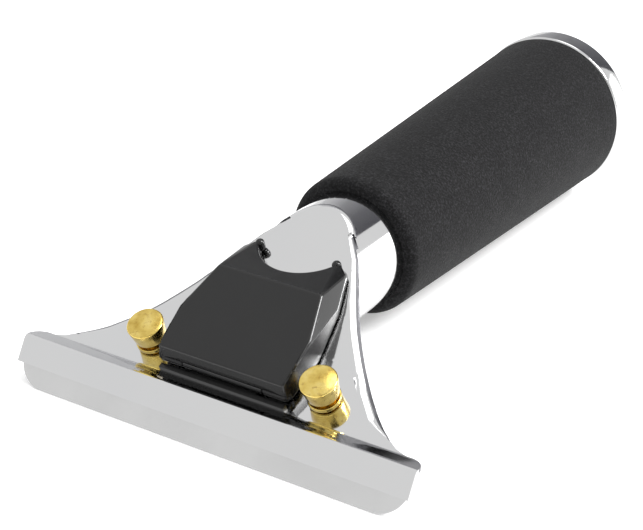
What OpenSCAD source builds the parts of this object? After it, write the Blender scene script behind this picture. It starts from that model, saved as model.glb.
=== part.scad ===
// Razor blade scraper: fishtail head with a front jaw, black lift clip,
// two brass plungers and a foam grip. It lies on its blade and end cap.
// +Y runs from the blade to the end cap, X across the blade, +Z up.

/* [Handle] */
// Length of the foam grip
grip_len = 106.2; // [80:0.1:140]
// Radius of the grip at the neck
grip_front_r = 17.9; // [17:0.1:20]
// How far the end cap stands proud of the grip
cap_proud = 0.3; // [0.1:0.1:1]
// Rounding of the grip's front edge
grip_front_round = 2.4; // [1:0.1:3]
// Rounding of the grip's rear edge
grip_rear_round = 0.8; // [0.4:0.1:2]
// Radius of the end cap
cap_r = 22.4; // [20:0.1:25]
// Length of the end cap's rim
cap_len = 7; // [5:0.1:10]
// Bevel of the end cap's edges
cap_bevel = 0.9; // [0.4:0.1:1.5]
// Depth of the recess in the end cap's face
cap_recess_depth = 1.5; // [0.5:0.1:3]
// Width of the end cap's raised rim
cap_rim_w = 2.6; // [1.5:0.1:4]
// Outer radius of the core tube
core_r = 12.8; // [12:0.1:13]
// Wall of the core tube
core_wall = 1.4; // [1:0.1:2]
// Radius of the pole socket's bore
socket_r = 9.5; // [8:0.1:10]
// Length of the pole socket
socket_len = 60; // [40:1:75]

/* [Neck] */
// Radius of the round neck
neck_r = 14.7; // [14.2:0.1:15.5]
// Length of neck inside the grip
neck_tail = 9; // [6:0.5:15]
// Neck left whole between the core socket and the flat facet
core_lead = 1; // [0.8:0.1:2]
// Distance from the grip to the top of the neck's lower bevel
bevel_top = 38; // [34:0.1:38.5]
// Slope of the neck's lower bevel, degrees
bevel_slope = 32; // [26:0.5:40]

/* [Head] */
// Distance from the grip to the wing's bend
bend_at = 41; // [38:0.5:44]
// Distance from the grip to the back of the front band
band_at = 54.6; // [53:0.1:57]
// Height of the band's back above the blade's edge
band_h = 9.6; // [9.4:0.1:11]
// Distance from the grip to the foot of the front jaw
foot_at = 65.3; // [64:0.1:68]
// Slope of the wing behind the bend, degrees
rear_slope = 33.5; // [32:0.1:34]
// Slope of the wing ahead of the bend, degrees
front_slope = 25; // [24:0.1:27]
// Lean of the front jaw's face from level, degrees
face_slope = 58.6; // [55:0.1:64]
// Rise of the band towards its front
band_rise = 0.7; // [0.3:0.1:1]
// Thickness of the formed sheet
sheet_t = 1; // [0.8:0.05:1.2]
// Full width of the front jaw
jaw_w = 106; // [100:0.5:112]
// Width of the wing where it meets the band
wing_w = 92; // [88:0.5:96]
// Radius of the front jaw's upper corners
jaw_corner_r = 3.5; // [2:0.1:3.6]

/* [Blade] */
// Length of the razor blade
blade_len = 105; // [98:0.5:106]
// Height of the razor blade
blade_h = 9.4; // [8.5:0.1:9.8]
// Thickness of the razor blade
blade_t = 0.45; // [0.3:0.05:0.5]
// Height of blade that shows below the front jaw
blade_show = 5.6; // [4:0.1:6.5]
// Radius of the blade's lower corners
blade_corner_r = 7.4; // [4:0.1:8]
// Length of the ground edge
blade_grind = 1.2; // [0.8:0.1:1.6]
// Gap between the front jaw and the blade
blade_gap = 0.1; // [0.06:0.01:0.15]
// Width of each notch in the blade's upper edge
notch_w = 7; // [5:0.1:8]
// Depth of each notch
notch_depth = 3.4; // [2.5:0.1:3.6]
// Distance between the two notches
notch_pitch = 42; // [36:0.5:50]

/* [Clamp plate] */
// Length of the clamp plate's face
clamp_len = 98; // [90:0.5:100]
// Thickness of the clamp plate
clamp_t = 1.2; // [1:0.05:1.3]
// Gap between the blade and the clamp plate
clamp_gap = 0.15; // [0.1:0.01:0.2]
// Length of the hinge barrel
barrel_len = 80; // [70:0.5:84]
// Outer radius of the hinge barrel
barrel_r = 1.8; // [1.6:0.05:1.9]
// Radius of the hinge pin
jaw_pin_r = 1; // [0.8:0.05:1.05]
// Thickness of each hinge lug
lug_w = 2.4; // [2:0.1:3]
// Width of each arm of the clamp plate
arm_w = 10; // [8:0.1:10]
// Running clearance of the hinges
run_gap = 0.05; // [0.03:0.01:0.08]

/* [Plungers] */
// Distance between the two plungers
stud_pitch = 47.1; // [46.6:0.1:50]
// Distance of the plungers ahead of the bend
stud_down = 7.9; // [7.5:0.1:8.5]
// Radius of the plunger's knob at its face
knob_r = 4.45; // [3.9:0.05:4.6]
// Radius of the knob at its foot
knob_foot_r = 3.85; // [3.4:0.05:4.2]
// Height of the knob
knob_h = 5.1; // [4.4:0.1:5.2]
// Height of the knob's top above the wing
knob_top = 6.6; // [6.4:0.1:7.5]
// Radius of the plunger's neck
stud_neck_r = 2.7; // [2.2:0.1:3]
// Radius of the plunger's stem
stem_r = 1.6; // [1.3:0.05:1.7]
// Radius of the bushing's collar
collar_r = 3.9; // [3.7:0.1:4.4]
// Height of the bushing's collar
collar_h = 0.5; // [0.4:0.1:0.8]
// Radius of the bushing's shank
shank_r = 3.2; // [2.9:0.1:3.5]
// Length of shank below the wing's sheet
shank_below = 1.5; // [1:0.1:1.8]
// Depth of the arm's upper face below the wing's top
arm_depth = 6.5; // [6:0.1:7]
// Radius of the clearance hole in each arm
arm_hole_r = 2.35; // [2.2:0.05:2.5]
// Radius of the retaining ring
ring_r = 2.9; // [2.7:0.05:3.1]
// Thickness of the retaining ring
ring_t = 0.9; // [0.7:0.05:1.1]
// Wire radius of the plunger spring
wire_r = 0.3; // [0.25:0.01:0.35]
// Mean radius of the plunger spring
coil_r = 2.4; // [2.3:0.05:2.6]

/* [Clip] */
// Height of the clip's top above the wing
clip_h = 7.8; // [7:0.1:8.5]
// Fall of the clip's top towards its rear crease
clip_fall = 0.4; // [0:0.1:0.8]
// Distance of the clip's front edge ahead of the bend
clip_front = 11; // [10.5:0.1:11.5]
// Distance of the clip's rear crease behind the bend
clip_crease = 12.4; // [11:0.1:14]
// Distance of the clip's horns behind the bend
clip_horn = 23.8; // [22:0.1:25]
// Height of the horns above the wing
horn_h = 2.5; // [2:0.1:3]
// Width of the clip's top at the front
clip_front_w = 33.9; // [32:0.1:34.5]
// Width of the clip's top at its widest
clip_mid_w = 35; // [33:0.1:35.2]
// Width of the clip's top at the rear crease
clip_crease_w = 28.2; // [26:0.1:30]
// Width over the horns' tips
clip_horn_w = 21.9; // [20:0.1:24]
// Wall of the clip
clip_wall = 1.5; // [1.2:0.1:1.8]
// Gap between the clip and the wing
clip_gap = 0.5; // [0.4:0.05:0.7]
// Radius of the thumb recess
thumb_r = 11.8; // [11:0.1:13]
// Depth of the thumb recess behind the horns
thumb_depth = 7.5; // [5:0.1:9]
// Height of the clip's pin above the wing's rear plane
clip_pin_h = 3.75; // [3.7:0.05:3.9]
// Radius of the clip's pin
clip_pin_r = 0.8; // [0.6:0.05:0.9]
// Radius of the clip's knuckles
knuckle_r = 1.6; // [1.4:0.05:1.65]
// Half length of the bracket's barrel
bracket_reach = 10.6; // [9:0.1:11]
// Length of the bracket's front foot
toe_len = 1.2; // [0.8:0.1:1.2]
// Thickness of the bracket's foot
bracket_t = 1; // [0.8:0.1:1.2]
// Radius of the bracket screws
screw_r = 1.25; // [1:0.05:1.4]
// Length of the bracket screws below the foot
screw_len = 6; // [4:0.1:6.5]

/* [Hidden] */
$fn = 64;
over = 1;
fit_gap = 0.05;
// The handle's axis lies level, as high as the end cap's radius
axis_z = cap_r;
blade_o = sheet_t + blade_gap;
blade_s = blade_o*cos(face_slope)/sin(face_slope);
edge_at = foot_at - blade_s*cos(face_slope) - blade_o*sin(face_slope);
grip_y = (edge_at - grip_len - cap_len)/2;
grip_rear_r = cap_r - cap_proud;

// Directions in the side view, where the first value is Y and the second Z
function heading(a) = [cos(a), sin(a)];
function side(a) = [-sin(a), cos(a)];
function turn_of(p, q) = atan2(q[1] - p[1], q[0] - p[0]);
// Points of a bend of radius r at q, shifted by o to the left
function bend(p, q, s, r, o, n) =
    let (a = turn_of(p, q), b0 = turn_of(q, s),
         b = b0 - a > 180 ? b0 - 360 : b0 - a < -180 ? b0 + 360 : b0,
         w = b > a ? 1 : -1,
         c = q - r*tan(abs(b - a)/2)*heading(a) + w*r*side(a))
    [for (i = [0:n]) c + (o - w*r)*side(a + (b - a)*i/n)];
function reversed(v) = [for (i = [len(v) - 1:-1:0]) v[i]];

// The wing's top line, from the neck to the foot of the front jaw. The flat
// facet starts where this line meets the top of the round neck.
line_band = [-band_at, band_h];
line_bend = [-bend_at, line_band[1] + (band_at - bend_at)*tan(front_slope)];
function plane_z(y) = line_bend[1] + (y + bend_at)*tan(rear_slope);
facet_start = bend_at - (axis_z + neck_r - line_bend[1])/tan(rear_slope);
core_socket = facet_start - core_lead;
line_rear = [core_lead, plane_z(core_lead)];
foot = [-foot_at, 0];
lip_z = line_band[1] + band_rise;
line_lip = foot + lip_z/sin(face_slope)*heading(face_slope);
line_end = foot + blade_show*heading(face_slope);
wing_bend_r = 30*sheet_t;
band_bend_r = 1.5*sheet_t;
lip_bend_r = 1.6*sheet_t;
function top_line(o) = concat(
    [line_rear + o*side(180 + rear_slope)],
    bend(line_rear, line_bend, line_band, wing_bend_r, o, 4),
    bend(line_bend, line_band, line_lip, band_bend_r, o, 5),
    bend(line_band, line_lip, line_end, lip_bend_r, o, 8),
    [line_end + o*side(180 + face_slope)]);

// Half widths of the wing along its length, as shares
wing_y_shares = [0.093, 0.155, 0.199, 0.287, 0.375, 0.442,
    0.508, 0.574, 0.64, 0.706, 0.773, 0.839, 0.905, 0.955, 0.983, 1];
wing_w_shares = [0.186, 0.248, 0.29, 0.348, 0.404, 0.448,
    0.493, 0.546, 0.602, 0.663, 0.726, 0.793, 0.866, 0.93, 0.98, 1.04];
wing_run = band_at - facet_start;

// Frame of the front jaw's face: first value up the face, second inwards
function face_point(s, o) = foot + s*heading(face_slope) - o*side(face_slope);
clamp_o = blade_o + blade_t + clamp_gap;
clamp_s0 = (clamp_o + clamp_t)*cos(face_slope)/sin(face_slope) + clamp_t;
clamp_s1 = blade_s + blade_h - clamp_t/3;
jaw_pin_at = [-band_at - sheet_t/3, line_band[1] - sheet_t - barrel_r - fit_gap*8];
lug_x = barrel_len/2 + run_gap*6;

// Frame of the plungers: stud_arm is the arm's middle on the plunger's axis
stud_base = line_bend - stud_down*heading(front_slope);
function stud_point(d, w) = stud_base + d*heading(front_slope) + w*side(front_slope);
arm_low = -arm_depth - clamp_t;
ring_gap = 0.3*sheet_t;
ring_play = 0.5*sheet_t;
ring_low = arm_low - ring_play - ring_t;
stem_low = ring_low - ring_t*2/3;
arm_back = arm_hole_r + clamp_t;
spring_low = -arm_depth + fit_gap;
spring_high = -sheet_t - shank_below - fit_gap;
spring_turns = 3;

// Places of the clip in the frame of the wing's rear plane
clip_pin_u = -clip_front;
front_rise = rear_slope - front_slope;
clip_base_w = clip_mid_w + 0.6*sheet_t;
clip_base_rear_w = clip_crease_w + clip_wall*3.2;
bracket_u = [clip_wall*2, clip_crease - clip_wall*0.8];
bracket_half = bracket_reach - clip_wall;
screw_x = bracket_half/2;
pin_run = clip_front*cos(front_rise) + clip_pin_h*sin(front_rise);
toe_rear = pin_run + knuckle_r + run_gap*6;
screw_head_r = screw_r*1.8;
screw_head_h = screw_r*0.9;

module at_grip() translate([0, grip_y, 0]) children();
module side_extrude(w) rotate([90, 0, 90]) translate([0, 0, -w/2]) linear_extrude(w) children();
module along_y(y) translate([0, y, axis_z]) rotate([-90, 0, 0]) children();
module x_rod(p, r, w) translate([-w/2, p[0], p[1]]) rotate([0, 90, 0]) cylinder(r = r, h = w);
module at_stud(s) translate([s*stud_pitch/2, stud_base[0], stud_base[1]]) rotate([front_slope, 0, 0]) children();
module at_clip() translate([0, line_bend[0], line_bend[1]]) rotate([rear_slope, 0, 0]) children();

module wing_outline() {
    half = wing_w/2;
    right = [for (i = [0:len(wing_y_shares) - 1])
        [half*wing_w_shares[i], -facet_start - wing_run*wing_y_shares[i]]];
    left = [for (p = reversed(right)) [-p[0], p[1]]];
    polygon(concat(right, left));
    for (s = [-1, 1])
        translate([s*(jaw_w/2 - jaw_corner_r), -band_at - jaw_corner_r])
            circle(r = jaw_corner_r);
    translate([-jaw_w/2 + jaw_corner_r, -band_at - jaw_corner_r])
        square([jaw_w - 2*jaw_corner_r, jaw_corner_r]);
    translate([-jaw_w/2, -foot_at - over])
        square([jaw_w, foot_at + over - band_at - jaw_corner_r]);
}

// The bent sheet, raised by w above its top for a cut
module formed_sheet(w) {
    intersection() {
        side_extrude(jaw_w + 2*over)
            polygon(concat(top_line(-w), reversed(top_line(sheet_t))));
        linear_extrude(line_rear[1] + over) wing_outline();
    }
}

// Everything above the wing's rear plane, from the bend backwards
module above_plane() {
    at_clip() translate([-jaw_w/2, -wing_run, 0]) cube([jaw_w, 2*wing_run + neck_tail, 3*neck_r]);
}

module hinge_lug(s) {
    x = s*(lug_x + lug_w/2);
    translate([x, 0, 0]) {
        x_rod(jaw_pin_at, barrel_r, lug_w);
        translate([-lug_w/2, jaw_pin_at[0] - barrel_r, jaw_pin_at[1]])
            cube([lug_w, 2*barrel_r, line_band[1] - sheet_t/2 - jaw_pin_at[1]]);
    }
}

module bracket_holes() {
    at_clip() for (s = [-1, 1])
        translate([s*screw_x, (bracket_u[0] + bracket_u[1])/2, -screw_len - fit_gap])
            cylinder(r = screw_r + fit_gap, h = screw_len + over, $fn = 32);
}

module wing_sheet() {
    color([0.82, 0.83, 0.84]) at_grip() difference() {
        union() {
            formed_sheet(0);
            for (s = [-1, 1]) hinge_lug(s);
        }
        x_rod(jaw_pin_at, jaw_pin_r + fit_gap, jaw_w);
        for (s = [-1, 1])
            at_stud(s) translate([0, 0, -neck_r/2]) cylinder(r = shank_r + fit_gap, h = neck_r);
        bracket_holes();
    }
}

// Round neck, cut flat to carry the wing and bevelled below
module neck_casting() {
    color([0.78, 0.79, 0.8]) at_grip() difference() {
        along_y(-bend_at) cylinder(r = neck_r, h = bend_at + neck_tail, $fn = 96);
        above_plane();
        formed_sheet(over);
        translate([0, -bevel_top, plane_z(-bevel_top) - sheet_t/cos(rear_slope)]) rotate([-bevel_slope, 0, 0])
            translate([-jaw_w/2, -jaw_w, -2*neck_r]) cube([jaw_w, jaw_w + over, 2*neck_r]);
        along_y(-core_socket) cylinder(r = core_r + fit_gap, h = core_socket + neck_tail + over, $fn = 96);
        bracket_holes();
    }
}

module core_tube() {
    color([0.7, 0.71, 0.73]) at_grip() along_y(-core_socket + fit_gap) difference() {
        cylinder(r = core_r, h = core_socket + grip_len + cap_len/2 - 2*fit_gap, $fn = 96);
        translate([0, 0, -over])
            cylinder(r = core_r - core_wall, h = core_socket + grip_len + cap_len + 2*over, $fn = 96);
    }
}

// Quarter of a circle about c, as points
function corner(c, r, a, n) = [for (i = [0:n]) c + r*[cos(a + 90*i/n), sin(a + 90*i/n)]];

module grip_sleeve() {
    rf = grip_front_round;
    rr = grip_rear_round;
    color([0.12, 0.12, 0.12]) at_grip() along_y(0) rotate_extrude($fn = 96) polygon(concat(
        [[neck_r + fit_gap, 0]],
        corner([grip_front_r - rf, rf], rf, -90, 6),
        corner([grip_rear_r - rr, grip_len - fit_gap - rr], rr, 0, 4),
        [[core_r + fit_gap, grip_len - fit_gap],
         [core_r + fit_gap, neck_tail + fit_gap],
         [neck_r + fit_gap, neck_tail + fit_gap]]));
}

module end_cap() {
    b = cap_bevel;
    color([0.78, 0.79, 0.8]) at_grip() along_y(grip_len) rotate_extrude($fn = 96) polygon([
        [core_r + fit_gap, 0],
        [cap_r - b, 0],
        [cap_r, b],
        [cap_r, cap_len - b],
        [cap_r - b, cap_len],
        [cap_r - cap_rim_w, cap_len],
        [cap_r - cap_rim_w - b, cap_len - cap_recess_depth],
        [socket_r + b, cap_len - cap_recess_depth],
        [socket_r + b, cap_len/2],
        [core_r + fit_gap, cap_len/2]]);
}

module pole_socket() {
    color([0.16, 0.16, 0.17]) at_grip()
        along_y(grip_len + cap_len/2 - socket_len - fit_gap) difference() {
            cylinder(r = core_r - core_wall - fit_gap, h = socket_len - fit_gap, $fn = 96);
            translate([0, 0, core_wall*2]) cylinder(r = socket_r, h = socket_len, $fn = 96);
        }
}

module jaw_pin() {
    color([0.55, 0.56, 0.58]) at_grip() x_rod(jaw_pin_at, jaw_pin_r, 2*(lug_x + lug_w));
}

// The clamp plate's face, web and barrel, with an arm to each plunger
module clamp_plate() {
    web = [clamp_s1 - clamp_t*1.4, clamp_s1];
    low = stud_point(-arm_back - clamp_t, -arm_depth - clamp_t/2);
    color([0.6, 0.61, 0.63]) at_grip() difference() {
        union() {
            side_extrude(clamp_len) polygon([
                face_point(clamp_s0, clamp_o), face_point(clamp_s1, clamp_o),
                face_point(clamp_s1, clamp_o + clamp_t), face_point(clamp_s0, clamp_o + clamp_t)]);
            side_extrude(barrel_len) polygon([
                face_point(web[0], clamp_o + clamp_t/2), face_point(web[1], clamp_o + clamp_t/2),
                jaw_pin_at + [0, barrel_r*0.8], jaw_pin_at - [0, barrel_r*0.8]]);
            x_rod(jaw_pin_at, barrel_r, barrel_len);
            for (s = [-1, 1]) translate([s*stud_pitch/2, 0, 0]) side_extrude(arm_w) polygon([
                jaw_pin_at + [0, barrel_r*0.8], jaw_pin_at - [0, barrel_r*0.8],
                low - clamp_t/2*side(front_slope), stud_point(arm_back, arm_low),
                stud_point(arm_back, -arm_depth), low + clamp_t/2*side(front_slope)]);
        }
        x_rod(jaw_pin_at, jaw_pin_r + run_gap, jaw_w);
        for (s = [-1, 1])
            at_stud(s) translate([0, 0, arm_low - over]) cylinder(r = arm_hole_r, h = clamp_t + 2*over);
    }
}

module razor_blade() {
    h = blade_h;
    r = blade_corner_r;
    color([0.84, 0.85, 0.86]) at_grip()
        translate([0, -foot_at, 0]) rotate([face_slope, 0, 0]) translate([0, blade_s, -blade_o])
            difference() {
                translate([0, 0, -blade_t]) linear_extrude(blade_t) union() {
                    translate([-blade_len/2, r]) square([blade_len, h - r]);
                    translate([-blade_len/2 + r, 0]) square([blade_len - 2*r, h]);
                    for (s = [-1, 1]) intersection() {
                        translate([s*(blade_len/2 - r), r]) circle(r = r);
                        translate([-blade_len, 0]) square([2*blade_len, h]);
                    }
                }
                rotate([-atan2(blade_t, blade_grind), 0, 0])
                    translate([-blade_len, -blade_h, -blade_h]) cube([2*blade_len, 3*blade_h, blade_h]);
                for (s = [-1, 1])
                    translate([s*notch_pitch/2 - notch_w/2, h - notch_depth, -blade_t - over])
                        cube([notch_w, h, blade_t + 2*over]);
            }
}

module bushing(s) {
    color([0.8, 0.68, 0.32]) at_grip() at_stud(s) rotate_extrude() polygon([
        [stem_r + run_gap, -sheet_t - shank_below],
        [shank_r, -sheet_t - shank_below],
        [shank_r, 0],
        [collar_r, 0],
        [collar_r, collar_h*2/3],
        [collar_r - collar_h/3, collar_h],
        [stem_r + run_gap, collar_h]]);
}

module plunger(s) {
    e = knob_h/6;
    foot_z = knob_top - knob_h;
    neck_low = collar_h + ring_gap;
    color([0.84, 0.72, 0.34]) at_grip() at_stud(s) rotate_extrude() polygon(concat(
        [[0, stem_low], [stem_r, stem_low], [stem_r, neck_low],
         [stud_neck_r, neck_low], [stud_neck_r, foot_z], [knob_foot_r - e/2, foot_z],
         [knob_foot_r, foot_z + e/2], [knob_r, knob_top - 2*e]],
        corner([knob_r - e, knob_top - 1.5*e], e, 0, 4),
        [[knob_r/2, knob_top - e/8], [0, knob_top]]));
}

module retaining_ring(s) {
    color([0.3, 0.3, 0.31]) at_grip() at_stud(s) translate([0, 0, ring_low]) difference() {
        cylinder(r = ring_r, h = ring_t);
        translate([0, 0, -over]) cylinder(r = stem_r + fit_gap/2, h = ring_t + 2*over);
    }
}

// Points of a hexagon of radius wire_r round the coil at turn angle a
function coil_ring(a, z) = [for (k = [0:5])
    [(coil_r + wire_r*cos(60*k))*cos(a), (coil_r + wire_r*cos(60*k))*sin(a), z + wire_r*sin(60*k)]];
coil_run = spring_high - spring_low - 2*wire_r;
coil_rings = [for (i = [0:8*spring_turns])
    coil_ring(45*i, spring_low + wire_r + coil_run*i/(8*spring_turns))];
coil_gap = min([for (i = [0:8*(spring_turns - 1)]) for (p = coil_rings[i]) for (q = coil_rings[i + 8]) norm(p - q)]);
echo(plunger_spring_gap_mm = coil_gap);

module plunger_spring(s) {
    n = 8*spring_turns;
    sides = [for (i = [0:n - 1]) for (k = [0:5]) for (t = [0, 1])
        let (a = i*6 + k, b = i*6 + (k + 1)%6)
        t == 0 ? [a, b, b + 6] : [a, b + 6, a + 6]];
    color([0.65, 0.66, 0.68]) at_grip() at_stud(s)
        polyhedron([for (r = coil_rings) for (p = r) p],
            concat([for (f = sides) [f[0], f[1], f[2]]], [[5, 4, 3, 2, 1, 0]], [[for (k = [0:5]) n*6 + k]]),
            convexity = 6);
}

module clip_bracket() {
    reach = 2*bracket_reach;
    color([0.2, 0.2, 0.21]) at_grip() at_clip() difference() {
        union() {
            side_extrude(2*bracket_half) polygon([
                [bracket_u[1], 0], [bracket_u[1], bracket_t], [bracket_u[0], bracket_t],
                [clip_pin_u + knuckle_r/2, clip_pin_h],
                [clip_pin_u + knuckle_r/2, clip_pin_h - knuckle_r/2],
                [0, clip_gap*0.8], [bracket_u[0], 0]]);
            x_rod([clip_pin_u, clip_pin_h], knuckle_r, reach);
            rotate([-front_rise, 0, 0]) translate([0, -toe_rear - toe_len, 0]) {
                translate([-clip_front_w/2, 0, 0]) cube([clip_front_w, toe_len, bracket_t]);
                translate([-bracket_half, 0, 0]) cube([2*bracket_half, toe_len + toe_rear - pin_run, bracket_t]);
            }
        }
        x_rod([clip_pin_u, clip_pin_h], clip_pin_r + fit_gap/2, reach + 2*over);
        for (s = [-1, 1])
            translate([s*screw_x, (bracket_u[0] + bracket_u[1])/2, -over])
                cylinder(r = screw_r + fit_gap, h = bracket_t + 2*over, $fn = 32);
    }
}

module bracket_screws() {
    color([0.5, 0.5, 0.52]) at_grip() at_clip() for (s = [-1, 1])
        translate([s*screw_x, (bracket_u[0] + bracket_u[1])/2, 0]) {
            translate([0, 0, -screw_len]) cylinder(r = screw_r, h = screw_len + bracket_t + screw_head_h/2, $fn = 32);
            translate([0, 0, bracket_t]) cylinder(r = screw_head_r, h = screw_head_h, $fn = 32);
        }
}

module clip_pin() {
    color([0.5, 0.5, 0.52]) at_grip() at_clip()
        x_rod([clip_pin_u, clip_pin_h], clip_pin_r, clip_front_w - clip_wall);
}

// The clip's closed form, drawn in by w on every side
module clip_form(w) {
    top = clip_h - w;
    hull() {
        translate([0, 0, top - clip_wall/2 - clip_fall]) linear_extrude(clip_wall/2) polygon([
            [clip_crease_w/2 - w, clip_crease - w], [-clip_crease_w/2 + w, clip_crease - w],
            [-clip_mid_w/2 + w, 0], [-clip_front_w/2 + w, -clip_front + w],
            [clip_front_w/2 - w, -clip_front + w], [clip_mid_w/2 - w, 0]]);
        translate([0, 0, top - clip_fall]) linear_extrude(clip_fall) polygon([
            [clip_mid_w/2 - w - clip_fall, -clip_front/2], [-clip_mid_w/2 + w + clip_fall, -clip_front/2],
            [-clip_front_w/2 + w, -clip_front + w], [clip_front_w/2 - w, -clip_front + w]]);
        linear_extrude(horn_h - w/2) polygon([
            [clip_horn_w/2 - w, clip_horn - w], [-clip_horn_w/2 + w, clip_horn - w],
            [-clip_crease_w/2 + w, clip_horn - clip_wall*1.7 - w],
            [-clip_base_rear_w/2 + w, clip_crease], [-clip_base_w/2 + w, 0],
            [-clip_base_w/2 + w + clip_gap, -clip_front + w],
            [clip_base_w/2 - w - clip_gap, -clip_front + w], [clip_base_w/2 - w, 0],
            [clip_base_rear_w/2 - w, clip_crease],
            [clip_crease_w/2 - w, clip_horn - clip_wall*1.7 - w]]);
        translate([0, 0, clip_pin_h - clip_wall/2]) linear_extrude(clip_wall/2) polygon([
            [clip_base_w/2 - w - clip_gap, -clip_front + w], [-clip_base_w/2 + w + clip_gap, -clip_front + w],
            [-clip_base_w/2 + w + clip_gap, -clip_front - knuckle_r + w*1.4],
            [clip_base_w/2 - w - clip_gap, -clip_front - knuckle_r + w*1.4]]);
    }
}

module clip_lever() {
    knuckle_w = clip_front_w/2 - bracket_reach - run_gap*4;
    color([0.1, 0.1, 0.1]) at_grip() at_clip() difference() {
        union() {
            difference() {
                clip_form(0);
                difference() {
                    translate([0, 0, -over/4]) clip_form(clip_wall);
                    translate([-clip_mid_w, clip_horn - thumb_depth - 2*clip_wall, -over])
                        cube([2*clip_mid_w, clip_horn, clip_h + 2*over]);
                }
                translate([0, clip_horn - thumb_depth + thumb_r, -over])
                    cylinder(r = thumb_r, h = clip_h + 2*over, $fn = 96);
                translate([-clip_mid_w, -over, -over - clip_h]) cube([2*clip_mid_w, clip_horn*2, clip_h + over + clip_gap]);
                rotate([-front_rise, 0, 0]) translate([-clip_mid_w, -clip_horn, clip_gap - clip_h])
                    cube([2*clip_mid_w, clip_horn + over, clip_h]);
                translate([-clip_mid_w, clip_pin_u - clip_h, clip_pin_h - clip_h])
                    cube([2*clip_mid_w, clip_h, clip_h]);
                x_rod([clip_pin_u, clip_pin_h], knuckle_r + run_gap*6, 2*(bracket_reach + run_gap*4));
                translate([-bracket_reach - run_gap*4, clip_pin_u - clip_h, clip_pin_h - clip_h])
                    cube([2*(bracket_reach + run_gap*4), clip_h + knuckle_r, clip_h]);
            }
            for (s = [-1, 1]) translate([s*(bracket_reach + run_gap*4 + knuckle_w/2), 0, 0])
                x_rod([clip_pin_u, clip_pin_h], knuckle_r, knuckle_w);
        }
        x_rod([clip_pin_u, clip_pin_h], clip_pin_r + run_gap, clip_front_w - clip_wall + run_gap*4);
    }
}

module left_bushing() bushing(-1);
module right_bushing() bushing(1);
module left_plunger() plunger(-1);
module right_plunger() plunger(1);
module left_retaining_ring() retaining_ring(-1);
module right_retaining_ring() retaining_ring(1);
module left_plunger_spring() plunger_spring(-1);
module right_plunger_spring() plunger_spring(1);

wing_sheet();
neck_casting();
core_tube();
grip_sleeve();
end_cap();
pole_socket();
jaw_pin();
clamp_plate();
razor_blade();
left_bushing();
right_bushing();
left_plunger();
right_plunger();
left_retaining_ring();
right_retaining_ring();
left_plunger_spring();
right_plunger_spring();
clip_bracket();
bracket_screws();
clip_pin();
clip_lever();
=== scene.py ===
import math
import bpy
import bmesh
from mathutils import Matrix, Vector
from mathutils.bvhtree import BVHTree


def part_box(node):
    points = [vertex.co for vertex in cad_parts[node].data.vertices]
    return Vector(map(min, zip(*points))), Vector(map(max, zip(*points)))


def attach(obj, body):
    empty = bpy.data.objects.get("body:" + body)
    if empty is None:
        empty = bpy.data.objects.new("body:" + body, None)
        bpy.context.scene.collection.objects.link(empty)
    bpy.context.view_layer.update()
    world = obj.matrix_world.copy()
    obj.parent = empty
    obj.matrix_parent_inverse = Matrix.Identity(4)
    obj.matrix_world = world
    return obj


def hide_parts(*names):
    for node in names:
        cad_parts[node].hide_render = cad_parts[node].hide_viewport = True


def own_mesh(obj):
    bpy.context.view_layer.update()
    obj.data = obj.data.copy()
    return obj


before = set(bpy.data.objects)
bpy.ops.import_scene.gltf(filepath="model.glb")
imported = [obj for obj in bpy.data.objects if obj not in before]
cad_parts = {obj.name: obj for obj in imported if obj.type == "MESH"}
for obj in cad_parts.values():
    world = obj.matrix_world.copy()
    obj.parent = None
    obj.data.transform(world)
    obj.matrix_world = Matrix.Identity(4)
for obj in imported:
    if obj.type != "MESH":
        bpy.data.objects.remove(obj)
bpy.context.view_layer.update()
MM = 0.001
GRIP_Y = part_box("grip_sleeve")[0][1]  # front end of the foam
AXIS_Z = (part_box("end_cap")[0][2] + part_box("end_cap")[1][2]) / 2  # height of the handle's axis
EVEN = (1, 1, 1)  # a pattern of one scale along all axes


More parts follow.
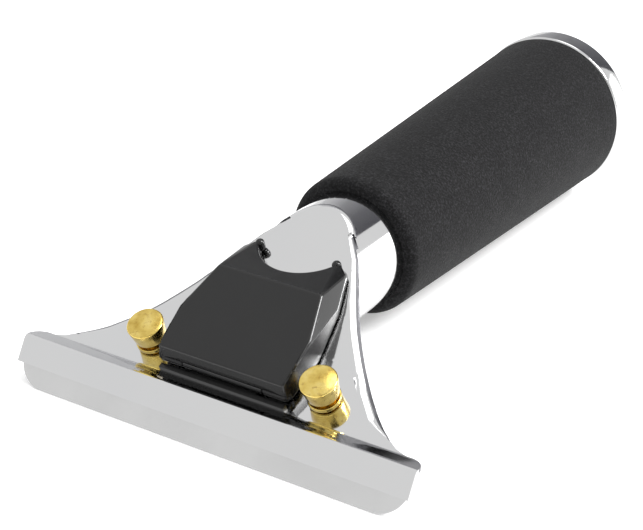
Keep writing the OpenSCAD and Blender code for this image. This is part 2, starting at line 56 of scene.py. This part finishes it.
# ---- finishes ----
class Finish:
    """A material under construction: a Principled shader and the nodes that feed it."""

    def __init__(self, name, colour, roughness, metallic=0.0):
        self.material = bpy.data.materials.new(name)
        self.material.use_nodes = True
        self.nodes = self.material.node_tree.nodes
        self.links = self.material.node_tree.links
        self.shader = self.nodes["Principled BSDF"]
        self.shader.inputs["Base Color"].default_value = (*colour, 1)
        self.shader.inputs["Roughness"].default_value = roughness
        self.shader.inputs["Metallic"].default_value = metallic
        self.material.diffuse_color = (*colour, 1)
        self.place = self.nodes.new("ShaderNodeTexCoord")

    def spread(self, scale):
        """The piece's own coordinates, stretched by scale along each axis."""
        mapping = self.nodes.new("ShaderNodeMapping")
        mapping.inputs["Scale"].default_value = scale
        self.links.new(self.place.outputs["Object"], mapping.inputs["Vector"])
        return mapping.outputs["Vector"]

    def noise(self, scale, size, detail=4.0, roughness=0.55):
        node = self.nodes.new("ShaderNodeTexNoise")
        node.inputs["Scale"].default_value = size
        node.inputs["Detail"].default_value = detail
        node.inputs["Roughness"].default_value = roughness
        self.links.new(self.spread(scale), node.inputs["Vector"])
        return node.outputs["Fac"]

    def ramp(self, fac, stops):
        node = self.nodes.new("ShaderNodeValToRGB")
        node.color_ramp.elements[0].position = stops[0][0]
        node.color_ramp.elements[0].color = (*stops[0][1], 1)
        node.color_ramp.elements[1].position = stops[-1][0]
        node.color_ramp.elements[1].color = (*stops[-1][1], 1)
        for position, colour in stops[1:-1]:
            node.color_ramp.elements.new(position).color = (*colour, 1)
        self.links.new(fac, node.inputs["Fac"])
        return node.outputs["Color"]

    def range_of(self, fac, low, high, start=0.3, end=0.7):
        """Turns start to end of fac into low to high."""
        node = self.nodes.new("ShaderNodeMapRange")
        for name, value in (("From Min", start), ("From Max", end), ("To Min", low), ("To Max", high)):
            node.inputs[name].default_value = value
        self.links.new(fac, node.inputs["Value"])
        return node.outputs["Result"]

    def mix(self, fac, first, second):
        node = self.nodes.new("ShaderNodeMix")
        node.data_type = "RGBA"
        for name, value in (("Factor", fac), ("A", first), ("B", second)):
            if isinstance(value, (tuple, float)):
                node.inputs[name].default_value = value
            else:
                self.links.new(value, node.inputs[name])
        return next(o for o in node.outputs if o.type == "RGBA")

    def bump(self, fac, strength, distance, below=None):
        node = self.nodes.new("ShaderNodeBump")
        node.inputs["Strength"].default_value = strength
        node.inputs["Distance"].default_value = distance
        self.links.new(fac, node.inputs["Height"])
        if below is not None:
            self.links.new(below, node.inputs["Normal"])
        return node.outputs["Normal"]

    def feed(self, socket, value):
        self.links.new(value, self.shader.inputs[socket])


def grey(tone):
    return (tone, tone, tone)


def polished_steel(name, tone, low, high):
    """Mirror polish: slow waves, faint polishing lines and thin smears."""
    f = Finish(name, (tone, tone, tone * 1.01), low, 1.0)
    smear = f.noise(EVEN, size=60, detail=5)
    f.feed("Roughness", f.range_of(smear, low, high))
    cool = (tone * 0.97, tone * 0.975, tone * 0.985)
    f.feed("Base Color", f.ramp(f.noise(EVEN, size=24, detail=3), [(0.3, cool), (0.7, grey(tone))]))
    waves = f.bump(f.noise(EVEN, size=90, detail=2), strength=0.02, distance=0.0004)
    lines = f.noise((30, 900, 900), size=4, detail=3)
    f.feed("Normal", f.bump(lines, strength=0.012, distance=0.0001, below=waves))
    return f.material


def ground_steel(name, tone, low, high):
    """Blade steel: fine grinding lines across the edge and small marks."""
    f = Finish(name, grey(tone), low, 1.0)
    lines = f.noise((4000, 120, 120), size=1.0, detail=3)
    f.feed("Roughness", f.range_of(lines, low, high))
    marks = f.noise(EVEN, size=45, detail=6)
    f.feed("Base Color", f.ramp(marks, [(0.25, grey(tone * 0.9)), (0.6, grey(tone))]))
    f.feed("Normal", f.bump(lines, strength=0.04, distance=0.00005))
    return f.material


def plain_metal(name, colour, low, high):
    """Unpolished metal with a fine grain."""
    f = Finish(name, colour, low, 1.0)
    grain = f.noise(EVEN, size=500, detail=5)
    f.feed("Roughness", f.range_of(grain, low, high))
    darker = tuple(c * 0.85 for c in colour)
    f.feed("Base Color", f.mix(f.noise(EVEN, size=80, detail=4), (*darker, 1), (*colour, 1)))
    f.feed("Normal", f.bump(grain, strength=0.05, distance=0.0001))
    return f.material


def worn_brass(name):
    """Turned brass: lighter and darker clouds, brown spots that are also duller."""
    f = Finish(name, (0.68, 0.51, 0.15), 0.2, 1.0)
    spots = f.noise(EVEN, size=900, detail=8, roughness=0.65)
    clouds = f.noise(EVEN, size=260, detail=3)
    base = f.ramp(clouds, [(0.3, (0.5, 0.34, 0.07)), (0.55, (0.7, 0.53, 0.15)), (0.8, (0.8, 0.66, 0.26))])
    brown = (0.2, 0.1, 0.03, 1)
    f.feed("Base Color", f.mix(f.range_of(spots, 0.0, 0.7, start=0.56, end=0.72), base, brown))
    f.feed("Roughness", f.range_of(spots, 0.13, 0.36, start=0.4, end=0.75))
    f.feed("Normal", f.bump(spots, strength=0.1, distance=0.00008))
    return f.material


def closed_cell_foam(name):
    """Black foam: a soft mottled skin full of tiny pits."""
    f = Finish(name, (0.016, 0.016, 0.017), 0.92)
    pits = f.nodes.new("ShaderNodeTexVoronoi")
    pits.inputs["Scale"].default_value = 1500
    f.links.new(f.spread(EVEN), pits.inputs["Vector"])
    fine = f.noise(EVEN, size=1900, detail=3, roughness=0.7)
    patch = f.noise(EVEN, size=130, detail=4)
    speckle = f.ramp(fine, [(0.35, (0.003, 0.003, 0.0032)), (0.5, (0.007, 0.007, 0.0074)),
                            (0.72, (0.03, 0.03, 0.032))])
    f.feed("Base Color", f.mix(f.range_of(patch, 0.0, 0.35), speckle, (0.009, 0.009, 0.0095, 1)))
    f.feed("Roughness", f.range_of(patch, 0.84, 0.97))
    f.shader.inputs["Specular IOR Level"].default_value = 0.1
    f.shader.inputs["Sheen Weight"].default_value = 0.03
    f.shader.inputs["Sheen Roughness"].default_value = 0.6
    pitted = f.bump(pits.outputs["Distance"], strength=0.35, distance=0.0002)
    f.feed("Normal", f.bump(fine, strength=0.6, distance=0.00025, below=pitted))
    return f.material


def moulded_black(name, low, high, tone=0.018):
    """Moulded black plastic: a satin skin with faint flow marks."""
    f = Finish(name, (tone, tone, tone * 1.05), low)
    skin = f.noise(EVEN, size=700, detail=3)
    f.feed("Roughness", f.range_of(f.noise(EVEN, size=70, detail=4), low, high))
    dark, light = (*grey(tone * 0.8), 1), (tone * 1.5, tone * 1.5, tone * 1.55, 1)
    f.feed("Base Color", f.mix(f.noise(EVEN, size=50, detail=3), dark, light))
    f.feed("Normal", f.bump(skin, strength=0.06, distance=0.0001))
    f.shader.inputs["Specular IOR Level"].default_value = 0.42
    return f.material


finishes = {
    "sheet": polished_steel("polished_sheet", 0.62, 0.05, 0.1),
    # The cut edge is satin, and its colour is painted dark: painted shade standing for the shaded floor that
    # the edge mirrors.
    "cut_edge_painted_shade": plain_metal("cut_sheet_edge_painted_shade", (0.17, 0.17, 0.18), 0.3, 0.45),
    "cap": polished_steel("polished_cap", 0.6, 0.06, 0.12),
    "blade": ground_steel("ground_blade", 0.6, 0.16, 0.26),
    "plain": plain_metal("plain_steel", (0.36, 0.37, 0.39), 0.28, 0.42),
    "tube": plain_metal("drawn_tube", (0.52, 0.53, 0.54), 0.3, 0.42),
    "foam": closed_cell_foam("grip_foam"),
    "clip": moulded_black("clip_plastic", 0.14, 0.24, 0.0045),
    "socket": moulded_black("socket_plastic", 0.5, 0.62),
    "brass": worn_brass("worn_brass"),
}


# ---- building ----
def settle(bm, name, finish, body, replaced=(), smooth=30):
    """Turns a bmesh into a finished piece that rides on a body."""
    bmesh.ops.remove_doubles(bm, verts=bm.verts, dist=1e-6)
    bmesh.ops.recalc_face_normals(bm, faces=bm.faces)
    mesh = bpy.data.meshes.new(name)
    bm.to_mesh(mesh)
    bm.free()
    for face in mesh.polygons:
        face.use_smooth = True
    mesh.set_sharp_from_angle(angle=math.radians(smooth))
    mesh.materials.append(finishes[finish])
    piece = bpy.data.objects.new(name, mesh)
    bpy.context.scene.collection.objects.link(piece)
    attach(piece, body)
    if replaced:
        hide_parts(*replaced)
    return piece


def merged_copy(node, flat=0.4):
    """A copy of a CAD node, merged, with its flat areas made whole."""
    bm = bmesh.new()
    bm.from_mesh(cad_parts[node].data)
    bmesh.ops.remove_doubles(bm, verts=bm.verts, dist=2e-6)
    bmesh.ops.dissolve_limit(bm, angle_limit=math.radians(flat), verts=bm.verts, edges=bm.edges)
    return bm


def soften(bm, angle, width, segments):
    """Rounds the edges that are sharper than angle, in degrees."""
    edges = [e for e in bm.edges if len(e.link_faces) == 2 and e.calc_face_angle(0) > math.radians(angle)]
    bmesh.ops.bevel(bm, geom=edges, offset=width, offset_type="OFFSET", affect="EDGES",
                    segments=segments, profile=0.5, material=-1, clamp_overlap=False)


def kept_near(bm, node, limit):
    """Puts each point that a bevel threw further than limit from the CAD node back on it."""
    solid = bmesh.new()
    solid.from_mesh(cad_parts[node].data)
    tree = BVHTree.FromBMesh(solid)
    solid.free()
    for v in bm.verts:
        near, _, _, gap = tree.find_nearest(v.co)
        if gap > limit:
            v.co = near


def even_normals(piece):
    """Lets large faces weigh more in the shading, so that they look flat."""
    weigh = piece.modifiers.new("even normals", "WEIGHTED_NORMAL")
    weigh.keep_sharp = True
    weigh.weight = 60


def round_normals(piece):
    """Keeps the piece's even normals, but turns those on the round neck straight out and polishes it."""
    bpy.context.view_layer.update()
    evened = piece.evaluated_get(bpy.context.evaluated_depsgraph_get()).to_mesh()
    lit = [Vector(corner.vector) for corner in evened.corner_normals]
    mesh = piece.data
    for face in mesh.polygons:
        points = [mesh.vertices[v].co for v in face.vertices]
        outward = [Vector((point.x, 0, point.z - AXIS_Z)) for point in points]
        on_neck = all(abs(out.length - NECK_R) < 0.02 * MM for out in outward)
        if on_neck and abs(face.normal.y) < 0.5:
            face.material_index = POLISHED
            for corner, out in zip(face.loop_indices, outward):
                lit[corner] = out.normalized()
    piece.modifiers.clear()
    mesh.normals_split_custom_set(lit)


def combined(first, second, how="UNION"):
    """Two closed forms made one, or the second cut from the first."""
    made = []
    for bm in (first, second):
        mesh = bpy.data.meshes.new("part")
        bm.to_mesh(mesh)
        bm.free()
        mesh.materials.append(finishes["sheet"])
        mesh.materials.append(finishes["cut_edge_painted_shade"])
        made.append(bpy.data.objects.new("part", mesh))
        bpy.context.scene.collection.objects.link(made[-1])
    joint = made[0].modifiers.new("combined", "BOOLEAN")
    joint.operation = how
    joint.solver = "EXACT"
    joint.object = made[1]
    bpy.context.view_layer.update()
    whole = made[0].evaluated_get(bpy.context.evaluated_depsgraph_get())
    bm = bmesh.new()
    bm.from_mesh(whole.to_mesh())
    whole.to_mesh_clear()
    for part in made:
        mesh = part.data
        bpy.data.objects.remove(part)
        bpy.data.meshes.remove(mesh)
    return bm


def turned(points, steps, frame_at):
    """A closed profile of (radius, height) pairs in mm, spun round its axis."""
    bm = bmesh.new()
    ring = [bm.verts.new((r * MM, 0, h * MM)) for r, h in points]
    edges = [bm.edges.new((ring[i], ring[(i + 1) % len(ring)])) for i in range(len(ring))]
    bmesh.ops.spin(bm, geom=ring + edges, cent=(0, 0, 0), axis=(0, 0, 1), angle=2 * math.pi,
                   steps=steps, use_merge=True, use_duplicate=False)
    bmesh.ops.remove_doubles(bm, verts=bm.verts, dist=1e-7)
    bmesh.ops.recalc_face_normals(bm, faces=bm.faces)
    bmesh.ops.transform(bm, matrix=frame_at, verts=bm.verts)
    return bm


def arc(cx, cy, r, first, last, count):
    """Points on a circle about (cx, cy) from one angle to another, in degrees."""
    turns = [math.radians(first + (last - first) * i / count) for i in range(count + 1)]
    return [(cx + r * math.cos(turn), cy + r * math.sin(turn)) for turn in turns]


# ---- head: the wing and the neck in one piece ----
# The second slot is the satin cut edge, whose dark colour is painted shade.
POLISHED, DULL_PAINTED_SHADE = 0, 1  # material slots of the head
REAR_TILT = math.radians(33.5)  # slope of the wing's rear facet
facet_up = Vector((0, -math.sin(REAR_TILT), math.cos(REAR_TILT)))
NECK_R = 14.7 * MM
RIDGE_Y, RIDGE_Z = -42.7 * MM, 31.1 * MM  # a point of the rear facet's plane
STUD_X, STUD_Y = 23.55 * MM, -72.75 * MM

# The wing's outline is read from its CAD node between these limits, clear of stud and neck.
RIM_X_FROM, RIM_Z_FROM = 13 * MM, 9 * MM
RIM_Y_FROM, RIM_Y_TO = -77.3 * MM, -42 * MM
STUD_CLEAR, NECK_CLEAR = 6 * MM, 14.95 * MM
# Where the rolled edge runs on over the neck: x and y in mm.
RIM_END = ((12.3, -41.62), (11.2, -40.47), (10.0, -39.22), (8.74, -37.95))

# The roll's section in mm: how far in from the side, how deep under the top.
ABOVE = 0.6
LEAST_DEPTH = 0.004
ROLL = [(3.2, LEAST_DEPTH), (2.7, 0.03), (2.2, 0.08), (1.75, 0.16), (1.35, 0.26), (1.0, 0.39), (0.62, 0.56),
        (0.3, 0.75), (0.0, 0.93), (-0.5, 1.2), (-0.5, -ABOVE), (3.2, -ABOVE)]
# These rows of the roll take the dark edge finish: a painted shade band for the shaded floor mirrored there.
ROLL_PAINTED_SHADE_ROWS = (5, 6, 7, 8)
ROLL_STEP = 1.2 * MM
ROLL_RUN_IN, ROLL_RUN_OUT = 7 * MM, 30 * MM

# The rounded ridge between the flat facet and the round neck.
RIDGE_HALF_TURN = 40  # degrees to each side of the top
RIDGE_STEPS = 56
RIDGE_ARC_STEPS = 8
RIDGE_WIDTH = 1.3  # mm to each side of the ridge
RIDGE_SINK = 0.006  # mm under both faces, so that the cut is clean
RIDGE_LIFT = 0.7  # mm above both faces
# These rows of the rounded ridge take the dark edge finish: a painted shade line, standing for a dark
# reflection.
RIDGE_PAINTED_SHADE_ROWS = (6, 7)


def side_rim(bm):
    """The outline of the wing's right side: points on its top edge from front to rear."""
    found = {}
    for edge in bm.edges:
        if len(edge.link_faces) != 2:
            continue
        tops = [f for f in edge.link_faces if f.normal.z > 0.75]
        walls = [f for f in edge.link_faces if abs(f.normal.z) < 0.2 and f.normal.x > 0.3]
        if len(tops) != 1 or len(walls) != 1:
            continue
        for v in edge.verts:
            past_stud = math.hypot(v.co.x - STUD_X, v.co.y - STUD_Y) > STUD_CLEAR
            past_neck = math.hypot(v.co.x, v.co.z - AXIS_Z) > NECK_CLEAR
            within = v.co.x > RIM_X_FROM and RIM_Y_FROM < v.co.y < RIM_Y_TO and v.co.z > RIM_Z_FROM
            if past_stud and past_neck and within:
                found[round(v.co.y / MM, 1)] = (v.co.copy(), tops[0].normal.copy())
    outline = [found[y] for y in sorted(found)]
    for x, y in RIM_END:
        at = Vector((x * MM, y * MM, RIDGE_Z + (y * MM - RIDGE_Y) * math.tan(REAR_TILT)))
        outline.append((at, facet_up.copy()))
    return outline


def rim_cutter(rim, side):
    """What is taken off to roll the wing's side edge over, swept along its outline."""
    stations = []
    for (a, n_a), (b, n_b) in zip(rim, rim[1:]):
        count = max(1, round((b - a).length / ROLL_STEP))
        stations += [(a.lerp(b, i / count), n_a.lerp(n_b, i / count)) for i in range(count)]
    stations.append(rim[-1])
    bm = bmesh.new()
    rings = []
    run = 0.0
    total = sum((b[0] - a[0]).length for a, b in zip(stations, stations[1:]))
    for i, (at, up) in enumerate(stations):
        along = (stations[min(i + 1, len(stations) - 1)][0] - stations[max(i - 1, 0)][0]).normalized()
        if i:
            run += (at - stations[i - 1][0]).length
        ease = min(1.0, run / ROLL_RUN_IN)
        thin = min(1.0, 0.4 + (total - run) / ROLL_RUN_OUT) * (0.1 + 0.9 * ease)
        out = along.cross(up).normalized()
        up = out.cross(along).normalized()
        ring = []
        for inward, deep in ROLL:
            depth = max(deep * ease, -ABOVE if deep < 0 else LEAST_DEPTH)
            point = at - out * inward * thin * MM - up * depth * MM
            point.x *= side
            ring.append(bm.verts.new(point))
        rings.append(ring)
    return skinned(bm, rings, ROLL_PAINTED_SHADE_ROWS)


def ridge_cutter():
    """What is taken off to round the ridge between the flat facet and the round neck."""
    bm = bmesh.new()
    rings = []
    for i in range(RIDGE_STEPS + 1):
        turn = math.radians(-RIDGE_HALF_TURN + 2 * RIDGE_HALF_TURN * i / RIDGE_STEPS)
        round_up = Vector((math.sin(turn), 0, math.cos(turn)))
        at = Vector((0, 0, AXIS_Z)) + round_up * NECK_R
        at.y = RIDGE_Y + (at.z - RIDGE_Z) / math.tan(REAR_TILT)
        along = facet_up.cross(round_up).normalized()
        on_facet = along.cross(facet_up)
        on_neck = along.cross(round_up)
        if on_facet.y > 0:
            on_facet = -on_facet
        if on_neck.y < 0:
            on_neck = -on_neck
        first = at + on_facet * RIDGE_WIDTH * MM
        last = at + on_neck * RIDGE_WIDTH * MM
        ring = []
        for k in range(RIDGE_ARC_STEPS + 1):
            t = k / RIDGE_ARC_STEPS
            point = first * (1 - t) ** 2 + at * 2 * t * (1 - t) + last * t ** 2
            ring.append(point - (facet_up * (1 - t) + round_up * t) * RIDGE_SINK * MM)
        ring += [last + round_up * RIDGE_LIFT * MM, at + (facet_up + round_up) * RIDGE_LIFT * MM,
                 first + facet_up * RIDGE_LIFT * MM]
        rings.append([bm.verts.new(point) for point in ring])
    return skinned(bm, rings, RIDGE_PAINTED_SHADE_ROWS)


def skinned(bm, rings, painted_shade_rows):
    """Closes a row of rings into one solid; the rows of painted shade take the second material, the dark satin
    edge finish.
    """
    size = len(rings[0])
    for a, b in zip(rings, rings[1:]):
        for k in range(size):
            j = (k + 1) % size
            face = bm.faces.new((a[k], a[j], b[j], b[k]))
            face.material_index = DULL_PAINTED_SHADE if k in painted_shade_rows else POLISHED
    bm.faces.new(rings[0])
    bm.faces.new(list(reversed(rings[-1])))
    bmesh.ops.recalc_face_normals(bm, faces=bm.faces)
    return bm


def is_side_wall(face):
    """Whether a face of the head is part of the wing's cut side."""
    at, normal = face.center, face.normal
    beside_neck = at.y < GRIP_Y - 17 * MM and abs(at.x) > 11 * MM and at.z > 9 * MM
    return beside_neck and abs(normal.z) < 0.3 and abs(normal.x) > 0.3


sheet = merged_copy("wing_sheet")
sheet.normal_update()
outline = side_rim(sheet)
head = combined(merged_copy("neck_casting"), sheet)
for side in (1, -1):
    head = combined(head, rim_cutter(outline, side), "DIFFERENCE")
head = combined(head, ridge_cutter(), "DIFFERENCE")
bmesh.ops.remove_doubles(head, verts=head.verts, dist=5e-6)
bmesh.ops.dissolve_limit(head, angle_limit=math.radians(0.6), verts=head.verts, edges=head.edges,
                         delimit={"MATERIAL"})
head.normal_update()
head_piece = settle(head, "polished_head", "sheet", "head", ("wing_sheet", "neck_casting"), 32)
head_piece.data.materials.append(finishes["cut_edge_painted_shade"])
# The wing's cut sides get the satin edge finish; its dark colour is painted shade.
for face in head_piece.data.polygons:
    if is_side_wall(face):
        face.material_index = DULL_PAINTED_SHADE
even_normals(head_piece)
round_normals(head_piece)

# ---- blade ----
settle(merged_copy("razor_blade"), "blade_steel", "blade", "blade", ("razor_blade",), 25)

# ---- clip, with a knuckle at the tip of each horn ----
KNUCKLE_R, KNUCKLE_STRETCH = 1.15 * MM, 0.5 * MM
clip = merged_copy("clip_lever")
soften(clip, angle=20, width=0.45 * MM, segments=4)
kept_near(clip, "clip_lever", 0.26 * MM)
clip_piece = settle(clip, "black_clip", "clip", "clip", ("clip_lever",), 32)
even_normals(clip_piece)
for side, sign in (("left", -1), ("right", 1)):
    knuckle = bmesh.new()
    bmesh.ops.create_uvsphere(knuckle, u_segments=24, v_segments=14, radius=KNUCKLE_R)
    for v in knuckle.verts:
        v.co.z += math.copysign(KNUCKLE_STRETCH, v.co.z)
    horn_tip = Matrix.Translation((sign * 10.6 * MM, -47.5 * MM, 30.05 * MM))
    leaning = Matrix.Rotation(math.radians(20), 4, "X")
    bmesh.ops.transform(knuckle, matrix=horn_tip @ leaning, verts=knuckle.verts)
    settle(knuckle, side + "_clip_knuckle", "clip", "clip", (), 60)

# ---- grip: radii and lengths in mm, from the foam's front end to the rear ----
FOAM_FRONT_R, FOAM_FRONT_ROUND, FOAM_REAR_ROUND = 17.9, 2.4, 0.8
FOAM_STEPS = 40
NECK_HOLE_R, NECK_HOLE_LEN, TUBE_HOLE_R = 14.75, 9.1, 12.85
rearward = Matrix.Rotation(math.radians(-90), 4, "X")
grip_place = Matrix.Translation((0, GRIP_Y, AXIS_Z)) @ rearward
grip_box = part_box("grip_sleeve")
grip_len = (grip_box[1][1] - grip_box[0][1]) / MM
rear_r = (grip_box[1][0] - grip_box[0][0]) / 2 / MM
outer = arc(FOAM_FRONT_R - FOAM_FRONT_ROUND, FOAM_FRONT_ROUND, FOAM_FRONT_ROUND, -90, 0, 8)
for i in range(1, FOAM_STEPS):
    t = i / FOAM_STEPS
    height = FOAM_FRONT_ROUND + (grip_len - (FOAM_FRONT_ROUND + FOAM_REAR_ROUND)) * t
    outer.append((FOAM_FRONT_R + (rear_r - FOAM_FRONT_R) * t, height))
outer += arc(rear_r - FOAM_REAR_ROUND, grip_len - FOAM_REAR_ROUND, FOAM_REAR_ROUND, 0, 90, 5)
bore = [(TUBE_HOLE_R, grip_len), (TUBE_HOLE_R, NECK_HOLE_LEN), (NECK_HOLE_R, NECK_HOLE_LEN)]
grip = turned([(NECK_HOLE_R, 0)] + outer + bore, 144, grip_place)
grip_piece = settle(grip, "foam_grip", "foam", "head", ("grip_sleeve",), 50)

# ---- end cap: its turned profile in mm ----
cap_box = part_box("end_cap")
cap_r = (cap_box[1][0] - cap_box[0][0]) / 2 / MM
cap_len = (cap_box[1][1] - cap_box[0][1]) / MM
cap_place = Matrix.Translation((0, cap_box[0][1], AXIS_Z)) @ rearward
cap_profile = [(TUBE_HOLE_R, 0)] + arc(cap_r - 0.7, 0.7, 0.7, -90, 0, 5)
cap_profile += arc(cap_r - 1.2, cap_len - 1.2, 1.2, 0, 90, 6) + arc(cap_r - 2.6, cap_len - 0.4, 0.4, 90, 150, 3)
cap_profile += [(cap_r - 3.6, cap_len - 1.5), (10.6, cap_len - 1.5), (10.4, cap_len - 1.7)]
cap_profile += [(10.4, cap_len / 2), (TUBE_HOLE_R, cap_len / 2)]
settle(turned(cap_profile, 144, cap_place), "polished_cap", "cap", "head", ("end_cap",), 28)

# ---- brass studs and their springs; heights in mm above the collar's seat ----
STUD_TILT = math.radians(25)
STEM = [(0, -9.7), (1.3, -9.7), (1.6, -9.4), (1.6, 0.8)]
KNOB = [(2.55, 0.8), (2.7, 0.95), (2.7, 1.5), (3.35, 1.5)]
KNOB += arc(3.43, 1.92, 0.42, -80, -8, 4) + arc(3.98, 5.78, 0.42, -6, 74, 7)
KNOB += [(3.7, 6.24), (3.0, 6.36), (2.0, 6.5), (1.0, 6.58), (0, 6.6)]
COLLAR = [(1.66, -2.5), (3.2, -2.5), (3.2, 0.0), (3.88, 0.0)] + arc(3.7, 0.3, 0.2, 0, 90, 4)
COLLAR += [(1.9, 0.5), (1.66, 0.42)]
stud_x = (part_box("right_plunger")[0][0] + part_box("right_plunger")[1][0]) / 2
base_y, base_z = GRIP_Y - 48.16 * MM, 12.603 * MM
for side, sign in (("left", -1), ("right", 1)):
    seat = Matrix.Translation((sign * stud_x, base_y, base_z)) @ Matrix.Rotation(STUD_TILT, 4, "X")
    settle(turned(STEM + KNOB, 72, seat), side + "_brass_plunger", "brass", side + "_plunger",
           (side + "_plunger",), 40)
    coil = settle(merged_copy(side + "_plunger_spring", 0.01), side + "_coil", "plain", "head",
                  (side + "_plunger_spring",), 60)
    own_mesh(coil)
    settle(turned(COLLAR, 72, seat), side + "_brass_collar", "brass", "head",
           (side + "_bushing",), 40)

# ---- other CAD nodes keep their shape ----
kept = {
    "core_tube": "tube", "pole_socket": "socket", "jaw_pin": "plain", "clamp_plate": "plain",
    "left_retaining_ring": "plain", "right_retaining_ring": "plain",
    "clip_bracket": "clip", "bracket_screws": "plain", "clip_pin": "plain",
}
for node, finish in kept.items():
    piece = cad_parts[node]
    piece.data.materials.clear()
    piece.data.materials.append(finishes[finish])


# ---- stage ----
STAGE_CENTRE = (0, -0.05, 0.02)  # what the cards and lights face
FLOOR_DROP = 0.0002


def added(name, data):
    thing = bpy.data.objects.new(name, data)
    bpy.context.scene.collection.objects.link(thing)
    return thing


def facing_centre(place, track):
    """The turn that points the track axis from a place to the stage's centre."""
    return (Vector(STAGE_CENTRE) - Vector(place)).to_track_quat(track, "Y")


def softbox(name, place, size, power):
    data = bpy.data.lights.new(name, "AREA")
    data.shape = "RECTANGLE"
    data.size, data.size_y = size
    data.energy = power
    light = added(name, data)
    light.location = place
    light.rotation_euler = facing_centre(place, "-Z").to_euler()


def studio_card(name, place, size, finish):
    """A card beside the camera's view that the polished metal mirrors."""
    bm = bmesh.new()
    bmesh.ops.create_grid(bm, x_segments=1, y_segments=1, size=0.5)
    bmesh.ops.scale(bm, vec=(size[0], size[1], 1), verts=bm.verts)
    turn = facing_centre(place, "Z").to_matrix().to_4x4()
    bmesh.ops.transform(bm, matrix=Matrix.Translation(place) @ turn, verts=bm.verts)
    mesh = bpy.data.meshes.new(name)
    bm.to_mesh(mesh)
    bm.free()
    mesh.materials.append(finish)
    card = added(name, mesh)
    card.visible_camera = False


def graded_card():
    """Grey at one end, nearly black at the other."""
    f = Finish("graded_card", (0.2, 0.2, 0.21), 0.95)
    across = f.nodes.new("ShaderNodeSeparateXYZ")
    f.links.new(f.place.outputs["Object"], across.inputs["Vector"])
    share = f.range_of(across.outputs["X"], 0.0, 1.0, start=-1.0, end=0.5)
    f.feed("Base Color", f.ramp(share, [(0.0, (0.6, 0.6, 0.61)), (0.35, (0.25, 0.25, 0.26)),
                                        (0.7, (0.12, 0.12, 0.13)), (1.0, (0.08, 0.08, 0.09))]))
    return f.material


def pale_floor():
    """A bright matt floor that glows faintly, painted light that makes the shadows on it fainter, and that is
    clear from below, so that the underside can be seen.
    """
    f = Finish("pale_floor", (0.92, 0.92, 0.92), 0.75)
    # Painted light: a faint glow that lightens the shadows cast on the floor.
    f.shader.inputs["Emission Color"].default_value = (1, 1, 0.99, 1)
    f.shader.inputs["Emission Strength"].default_value = 0.22
    side_seen = f.nodes.new("ShaderNodeNewGeometry")
    clear = f.nodes.new("ShaderNodeBsdfTransparent")
    either = f.nodes.new("ShaderNodeMixShader")
    f.links.new(side_seen.outputs["Backfacing"], either.inputs["Fac"])
    f.links.new(f.shader.outputs["BSDF"], either.inputs[1])
    f.links.new(clear.outputs["BSDF"], either.inputs[2])
    f.links.new(either.outputs["Shader"], f.nodes["Material Output"].inputs["Surface"])
    return f.material


floor_bm = bmesh.new()
bmesh.ops.create_grid(floor_bm, x_segments=1, y_segments=1, size=3.0)
floor_mesh = bpy.data.meshes.new("floor")
floor_bm.to_mesh(floor_mesh)
floor_bm.free()
floor = added("floor", floor_mesh)
floor.location = (0, 0, -FLOOR_DROP)
floor_mesh.materials.append(pale_floor())

world = bpy.data.worlds.new("studio")
bpy.context.scene.world = world
world.use_nodes = True
world.node_tree.nodes["Background"].inputs["Color"].default_value = (1, 1, 1, 1)
world.node_tree.nodes["Background"].inputs["Strength"].default_value = 1.02

dark_card = Finish("dark_card", (0.035, 0.03, 0.025), 0.95).material
studio_card("rear_card", (-0.227, 1.066, 0.708), (1.6, 1.1), graded_card())
studio_card("camera_side", (0.52, -0.8, 0.42), (0.5, 0.42), dark_card)
softbox("top_box", (-0.08, 0.15, 1.15), (0.5, 0.5), 1.9)
softbox("flank_box", (0.5, -0.05, 0.93), (0.16, 0.16), 1.2)
softbox("right_box", (0.95, 0.8, 0.2), (1.2, 0.42), 3.2)
softbox("key_box", (0.6, 0.25, 0.65), (0.32, 0.32), 9.0)

# ---- camera, fitted to the photograph's outlines ----
PHOTO_WIDTH, FOCAL_LENGTH = 643, 1708.9  # pixels
SENSOR_WIDTH = 36
CAMERA_DOWN, CAMERA_TURN = 26.714, 32.984  # degrees
camera_data = bpy.data.cameras.new("camera")
camera_data.sensor_width = SENSOR_WIDTH
camera_data.lens = FOCAL_LENGTH / PHOTO_WIDTH * SENSOR_WIDTH
camera_data.clip_start = 0.01
camera = added("camera", camera_data)
camera.location = (0.19626, -0.34008, 0.20491)
camera.rotation_euler = (math.radians(90 - CAMERA_DOWN), 0, math.radians(CAMERA_TURN))
bpy.context.scene.camera = camera
bpy.context.scene.view_settings.view_transform = "Standard"
bpy.context.scene.view_settings.look = "None"
